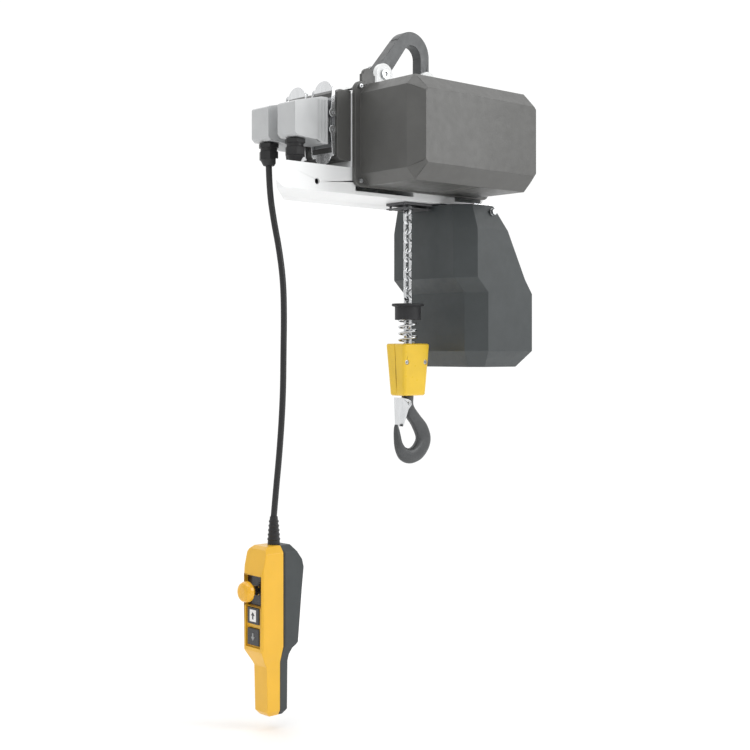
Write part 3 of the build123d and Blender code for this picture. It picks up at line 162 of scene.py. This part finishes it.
CLASS_FINISH = {
    "painted_metal": {"roughness": 0.40, "coat": 0.12, "grain": 0.16, "grain_scale": 620.0},
    "brushed_steel": {"roughness": 0.30, "metallic": 1.0, "grain": 0.10, "stretch": (1.0, 1.0, 0.2)},
    "chrome": {"roughness": 0.22, "metallic": 1.0, "grain": 0.06, "mottle": 0.08, "patch_scale": 90.0},
    "aluminium": {"roughness": 0.42, "metallic": 1.0, "grain": 0.22, "grain_scale": 900.0},
    "cast_iron": {"roughness": 0.62, "metallic": 0.4, "grain": 0.35, "grain_scale": 500.0},
    "brass": {"roughness": 0.32, "metallic": 1.0},
    "rubber": {"roughness": 0.62, "grain": 0.18, "grain_scale": 1100.0, "mottle": 0.10},
    "matte_plastic": {"roughness": 0.50, "grain": 0.22, "grain_scale": 1300.0},
    "gloss_plastic": {"roughness": 0.28, "coat": 0.15, "grain": 0.05, "grain_scale": 260.0},
}
SLOT_FINISH = {
    "cover_paint": {"roughness": 0.47, "grain": 0.30, "grain_scale": 1050.0, "mottle": 0.07},
    "housing_paint": {"roughness": 0.36, "grain": 0.14, "mottle": 0.025, "patch_scale": 9.0},
    "block_paint": {"roughness": 0.33, "coat": 0.25, "mottle": 0.05},
    "forged_black": {
        "roughness": 0.44,
        "metallic": 0.55,
        "grain": 0.45,
        "grain_scale": 330.0,
        "mottle": 0.18,
    },
    "sheet_zinc": {"roughness": 0.24, "metallic": 1.0, "grain": 0.08, "mottle": 0.06, "patch_scale": 130.0},
    "bucket_plastic": {"roughness": 0.46, "grain": 0.35, "grain_scale": 1500.0, "mottle": 0.08},
    "cable_sheath": {"roughness": 0.42, "grain": 0.10, "grain_scale": 500.0},
    "pendant_yellow": {
        "colour": (0.82, 0.455, 0.022),
        "roughness": 0.34,
        "grain": 0.16,
        "grain_scale": 1400.0,
        "mottle": 0.03,
    },
    "pendant_grey": {"roughness": 0.52, "grain": 0.24, "grain_scale": 1500.0},
    "gear_steel": {"roughness": 0.34, "metallic": 1.0, "grain": 0.2, "stretch": (1.0, 0.15, 1.0)},
}

paints = {}
for entry in frame["record"]["materials"]:
    finish = {**CLASS_FINISH[entry["class"]], **SLOT_FINISH.get(entry["slot"], {})}
    colour = finish.get("colour", entry["base_color"])
    paints[entry["slot"]] = surface(entry["slot"], colour, finish)

node_slots = {part["node"]: part["material_slot"] for part in frame["record"]["subparts"]}
for node, slot in node_slots.items():
    nodes[node].data.materials.clear()
    nodes[node].data.materials.append(paints[slot])


# ---------------------------------------------------------------- softened edges
# in millimetres
EDGE_RADIUS = {
    "electrical_cover": 1.0,
    "main_housing": 0.8,
    "rear_cover": 0.9,
    "connector_box": 1.0,
    "suspension_bracket": 1.0,
    "suspension_pins": 0.8,
    "rear_cover_screws": 0.4,
    "cover_screws": 0.4,
    "pendant_hood": 1.2,
    "supply_hood": 1.2,
    "pendant_socket": 0.8,
    "supply_socket": 0.8,
    "pendant_gland": 0.9,
    "supply_gland": 0.9,
    "pendant_upper_lever": 0.5,
    "pendant_lower_lever": 0.5,
    "supply_upper_lever": 0.5,
    "supply_lower_lever": 0.5,
    "chain_bucket": 1.2,
    "bucket_bracket": 0.6,
    "bucket_bolts": 0.5,
    "chain_guide": 0.6,
    "limit_plate": 0.6,
    "limit_cup": 0.8,
    "hook_block_front": 1.2,
    "hook_block_rear": 1.2,
    "block_screws": 0.4,
    "latch_pin": 0.4,
    "hook_latch": 0.5,
    "pendant_front": 1.2,
    "pendant_rear": 1.4,
    "pendant_boot": 0.7,
    "estop_head": 1.0,
    "up_button": 0.5,
    "down_button": 0.5,
}


WELD_GAP = 0.002 * MM
SHARP_ANGLE = radians(28)


def soften(node, radius):
    """Rounds a CAD node's sharp edges as casting, moulding or folding leaves them."""
    piece = nodes[node]
    weld = piece.modifiers.new("weld", "WELD")
    weld.merge_threshold = WELD_GAP
    edges = piece.modifiers.new("soft edges", "BEVEL")
    edges.width = radius * MM
    edges.segments = 3
    edges.limit_method = "ANGLE"
    edges.angle_limit = SHARP_ANGLE
    edges.use_clamp_overlap = False
    normals = piece.modifiers.new("even shading", "WEIGHTED_NORMAL")
    normals.keep_sharp = False


for node, radius in EDGE_RADIUS.items():
    soften(node, radius)


# ---------------------------------------------------------------- mesh helpers
def add_piece(name, shape_data, slot, body, paint=None):
    """A new piece of the object that rides on a CAD body, painted as its slot unless paint is given."""
    piece = bpy.data.objects.new(name, shape_data)
    bpy.context.scene.collection.objects.link(piece)
    piece.data.materials.append(paint or paints[slot])
    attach(piece, body)
    return piece


def skin(rings, name):
    """A closed smooth skin over a run of rings of points, capped at both ends."""
    shape = bmesh.new()
    loops = [[shape.verts.new(point) for point in ring] for ring in rings]
    for upper, lower in zip(loops, loops[1:]):
        for index in range(len(upper)):
            after = (index + 1) % len(upper)
            shape.faces.new((upper[index], upper[after], lower[after], lower[index]))
    shape.faces.new(loops[0])
    shape.faces.new(reversed(loops[-1]))
    bmesh.ops.recalc_face_normals(shape, faces=shape.faces)
    for face in shape.faces:
        face.smooth = True
    mesh_data = bpy.data.meshes.new(name)
    shape.to_mesh(mesh_data)
    shape.free()
    return mesh_data


def between(values, step, share):
    """Catmull-Rom value between values[step] and values[step + 1]."""
    before = values[max(step - 1, 0)]
    first = values[step]
    second = values[step + 1]
    after = values[min(step + 2, len(values) - 1)]
    return (
        first
        + (second - before) * (0.5 * share)
        + (before * 2 - first * 5 + second * 4 - after) * (0.5 * share**2)
        + (first * 3 - before - second * 3 + after) * (0.5 * share**3)
    )


# ---------------------------------------------------------------- forged hook
# each station: outer X and Z, inner X and Z, and half thickness, in millimetres
HOOK_STATIONS = [
    (9, -715, -9, -715, 9),
    (9, -752, -9, -752, 9),
    (12, -753.6, -12, -753.6, 12),
    (12, -759, -12, -759, 12),
    (13.5, -775, -9.5, -775, 10.6),
    (33, -796, -3.5, -798, 10),
    (55, -818, 13, -818, 10),
    (66, -845, 26.5, -842.5, 10),
    (60, -870, 23.2, -854.8, 10),
    (38, -892, 13.5, -864.1, 10),
    (6, -900.5, 2, -867, 10),
    (-20, -892, -12.1, -862.6, 9.6),
    (-34, -871, -21, -850.9, 8.6),
    (-38.5, -845, -24.5, -838, 7.4),
    (-38.2, -824, -29, -824, 6.4),
    (-36.8, -814.5, -31.5, -815, 3.6),
]
RING_POINTS, STEPS = 36, 6
FULLNESS = 0.78  # below 1 squares the section's corners
INNER_SWELL = 0.10  # how much thicker the inner side is
SHANK_STATIONS = 3  # stations joined by straight runs, above the curved hook


def hook_ring(outer, inner, half_thick):
    """One cross-section of the hook: a rounded oblong, fuller on its inner side."""
    middle = (outer + inner) / 2
    reach = (outer - inner) / 2
    ring = []
    for index in range(RING_POINTS):
        turn = 2 * pi * index / RING_POINTS
        across = copysign(abs(cos(turn)) ** FULLNESS, cos(turn))
        thick = copysign(abs(sin(turn)) ** FULLNESS, sin(turn))
        taper = 1.0 - INNER_SWELL * across
        point = middle + reach * across
        ring.append(Vector((point.x, half_thick * thick * taper, point.z)) * MM)
    return ring


def forged_hook():
    """The load hook's looks: sections carried round the same outline as the CAD hook."""
    outers = [Vector((x, 0, z)) for x, z, _, _, _ in HOOK_STATIONS]
    inners = [Vector((x, 0, z)) for _, _, x, z, _ in HOOK_STATIONS]
    thicks = [half for _, _, _, _, half in HOOK_STATIONS]
    rings = []
    for step in range(len(HOOK_STATIONS) - 1):
        for part in range(STEPS):
            share = part / STEPS
            if step < SHANK_STATIONS:
                outer = outers[step].lerp(outers[step + 1], share)
                inner = inners[step].lerp(inners[step + 1], share)
                half = thicks[step] + (thicks[step + 1] - thicks[step]) * share
            else:
                outer = between(outers, step, share)
                inner = between(inners, step, share)
                half = between(thicks, step, share)
            rings.append(hook_ring(outer, inner, half))
    rings.append(hook_ring(outers[-1], inners[-1], thicks[-1]))
    hook = add_piece("forged_hook", skin(rings, "forged_hook"), "forged_black", "hook")
    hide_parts("load_hook")


forged_hook()


# ---------------------------------------------------------------- pendant cable
CABLE_RADIUS = 0.0065
CABLE_ROUTE = [
    (-0.3200, 0.0740, -0.280),
    (-0.3190, 0.0730, -0.330),
    (-0.3110, 0.0695, -0.390),
    (-0.3000, 0.0650, -0.450),
    (-0.2920, 0.0620, -0.515),
    (-0.2905, 0.0615, -0.585),
    (-0.2915, 0.0620, -0.660),
    (-0.2920, 0.0625, -0.735),
    (-0.2950, 0.0640, -0.805),
    (-0.2995, 0.0665, -0.875),
    (-0.3040, 0.0700, -0.935),
    (-0.3080, 0.0730, -0.995),
]


def hanging_cable():
    """The control cable from the pendant hood's gland down into the pendant's boot."""
    curve = bpy.data.curves.new("control_cable", "CURVE")
    curve.dimensions = "3D"
    curve.bevel_depth = CABLE_RADIUS
    curve.bevel_resolution = 8
    curve.resolution_u = 24
    curve.use_fill_caps = True
    spline = curve.splines.new("NURBS")
    spline.points.add(len(CABLE_ROUTE) - 1)
    for point, place in zip(spline.points, CABLE_ROUTE):
        point.co = (*place, 1.0)
    spline.order_u = 3
    spline.use_endpoint_u = True
    cable = add_piece("control_cable", curve, "cable_sheath", "housing")
    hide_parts("pendant_cable")


hanging_cable()


# ---------------------------------------------------------------- marks on the pendant
LABEL_HALF = (10.5 * MM, 12.0 * MM)  # half width and half height of a printed field
ARROW_HEAD, ARROW_SHAFT, ARROW_REACH = 6.0 * MM, 2.0 * MM, 7.5 * MM
RECESS_HALF = (27.6 * MM, 30.6 * MM)
RECESS_DEPTH = 9.4 * MM
STEM_HALF = 9.3 * MM


def plate(name, outline, x, depth, slot, body, paint):
    """A flat raised mark facing -X: outline is Y and Z pairs, x its visible face."""
    shape = bmesh.new()
    face = shape.faces.new([shape.verts.new((x, y, z)) for y, z in outline])
    grown = bmesh.ops.extrude_face_region(shape, geom=[face])
    corners = [item for item in grown["geom"] if isinstance(item, bmesh.types.BMVert)]
    bmesh.ops.translate(shape, verts=corners, vec=(depth, 0, 0))
    bmesh.ops.recalc_face_normals(shape, faces=shape.faces)
    mesh_data = bpy.data.meshes.new(name)
    shape.to_mesh(mesh_data)
    shape.free()
    return add_piece(name, mesh_data, slot, body, paint)


def label(name, node, paint):
    """A plain printed field on a button."""
    low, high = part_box(node)
    y, z = (low[1] + high[1]) / 2, (low[2] + high[2]) / 2
    wide, tall = LABEL_HALF
    outline = [(y - wide, z - tall), (y + wide, z - tall), (y + wide, z + tall), (y - wide, z + tall)]
    plate(name, outline, low[0] - 0.3 * MM, 0.6 * MM, "button_black", node, paint)


def arrow(name, node, up, paint):
    """A travel arrow on a button; up is +1 or -1."""
    low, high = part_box(node)
    y, z = (low[1] + high[1]) / 2, (low[2] + high[2]) / 2
    outline = [
        (y - ARROW_SHAFT, z - up * ARROW_REACH),
        (y + ARROW_SHAFT, z - up * ARROW_REACH),
        (y + ARROW_SHAFT, z),
        (y + ARROW_HEAD, z),
        (y, z + up * ARROW_REACH),
        (y - ARROW_HEAD, z),
        (y - ARROW_SHAFT, z),
    ]
    plate(name, outline, low[0] - 0.6 * MM, 1.0 * MM, "button_black", node, paint)


def recess_panel():
    """The dark panel on the floor of the stop button's recess, in four strips round its stem."""
    low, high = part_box("estop_head")
    middle_y, middle_z = (low[1] + high[1]) / 2, (low[2] + high[2]) / 2
    half_y, half_z = RECESS_HALF
    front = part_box("pendant_front")[0][0] + RECESS_DEPTH
    strips = [
        (-half_y, half_y, STEM_HALF, half_z),
        (-half_y, half_y, -half_z, -STEM_HALF),
        (-half_y, -STEM_HALF, -STEM_HALF, STEM_HALF),
        (STEM_HALF, half_y, -STEM_HALF, STEM_HALF),
    ]
    for number, (y_low, y_high, z_low, z_high) in enumerate(strips):
        corners = [(y_low, z_low), (y_high, z_low), (y_high, z_high), (y_low, z_high)]
        outline = [(middle_y + y, middle_z + z) for y, z in corners]
        name = f"recess_panel_{number}"
        plate(name, outline, front, 0.5 * MM, "button_black", "housing", paints["button_black"])


recess_panel()
print_white = surface("print_white", (0.82, 0.82, 0.81), {"roughness": 0.4, "mottle": 0.02})
print_grey = surface("print_grey", (0.30, 0.31, 0.31), {"roughness": 0.4, "mottle": 0.02})
label("up_label", "up_button", print_white)
arrow("up_arrow", "up_button", 1, paints["button_black"])
arrow("down_arrow", "down_button", -1, print_grey)


# ---------------------------------------------------------------- limit spring
def squashing_spring():
    """The limit cup's spring as its own piece, riding on the hook block in place of the CAD spring."""
    coil = nodes["limit_spring"].data.copy()
    coil.materials.clear()
    spring = add_piece("cup_spring", coil, "bright_steel", "hook_block")
    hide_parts("limit_spring")
    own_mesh(spring)


squashing_spring()


# ---------------------------------------------------------------- studio
FLOOR_RADIUS, FLOOR_DROP = 2.4, 0.03
AIM = Vector((-0.1, 0.0, -0.6))
# name, place, side of the square lamp, power in watts
LIGHTS = [
    ("top", (0.2, -0.6, 3.2), 3.0, 55.0),
    ("key", (1.9, -3.0, 0.6), 1.6, 40.0),
    ("side", (-3.0, -0.8, 0.6), 1.0, 4.0),
    ("back", (0.6, 2.6, 1.8), 1.6, 5.0),
]


def studio():
    """A pale floor below the pendant, a white surround and four soft lights."""
    low = cad_box[0]
    floor_mesh = bpy.data.meshes.new("floor")
    shape = bmesh.new()
    bmesh.ops.create_circle(shape, cap_ends=True, segments=96, radius=FLOOR_RADIUS)
    shape.to_mesh(floor_mesh)
    shape.free()
    floor = bpy.data.objects.new("floor", floor_mesh)
    floor.location = (0, 0, low[2] - FLOOR_DROP)
    bpy.context.scene.collection.objects.link(floor)
    pale = {"roughness": 0.9, "mottle": 0.002, "grain": 0.01, "patch_scale": 2.0}
    floor_mesh.materials.append(surface("studio_floor", (0.99, 0.99, 0.99), pale))

    world = bpy.data.worlds.new("studio")
    world.use_nodes = True
    background = world.node_tree.nodes["Background"]
    background.inputs["Color"].default_value = (1.0, 1.0, 1.0, 1.0)
    # white behind the hoist, dimmer on the near side, so that its facets read
    place = world.node_tree.nodes.new("ShaderNodeTexCoord")
    facing = world.node_tree.nodes.new("ShaderNodeVectorMath")
    facing.operation = "DOT_PRODUCT"
    facing.inputs[1].default_value = CAMERA_HEADING
    level = world.node_tree.nodes.new("ShaderNodeMapRange")
    level.inputs["From Min"].default_value = -0.5
    level.inputs["From Max"].default_value = 0.6
    level.inputs["To Min"].default_value = 0.72
    level.inputs["To Max"].default_value = 1.05
    world.node_tree.links.new(place.outputs["Generated"], facing.inputs[0])
    world.node_tree.links.new(facing.outputs["Value"], level.inputs["Value"])
    world.node_tree.links.new(level.outputs["Result"], background.inputs["Strength"])
    bpy.context.scene.world = world

    for name, place, size, power in LIGHTS:
        lamp = bpy.data.lights.new(name, "AREA")
        lamp.size = size
        lamp.energy = power
        light = bpy.data.objects.new(name, lamp)
        light.location = place
        light.rotation_euler = (AIM - Vector(place)).to_track_quat("-Z", "Y").to_euler()
        bpy.context.scene.collection.objects.link(light)


studio()
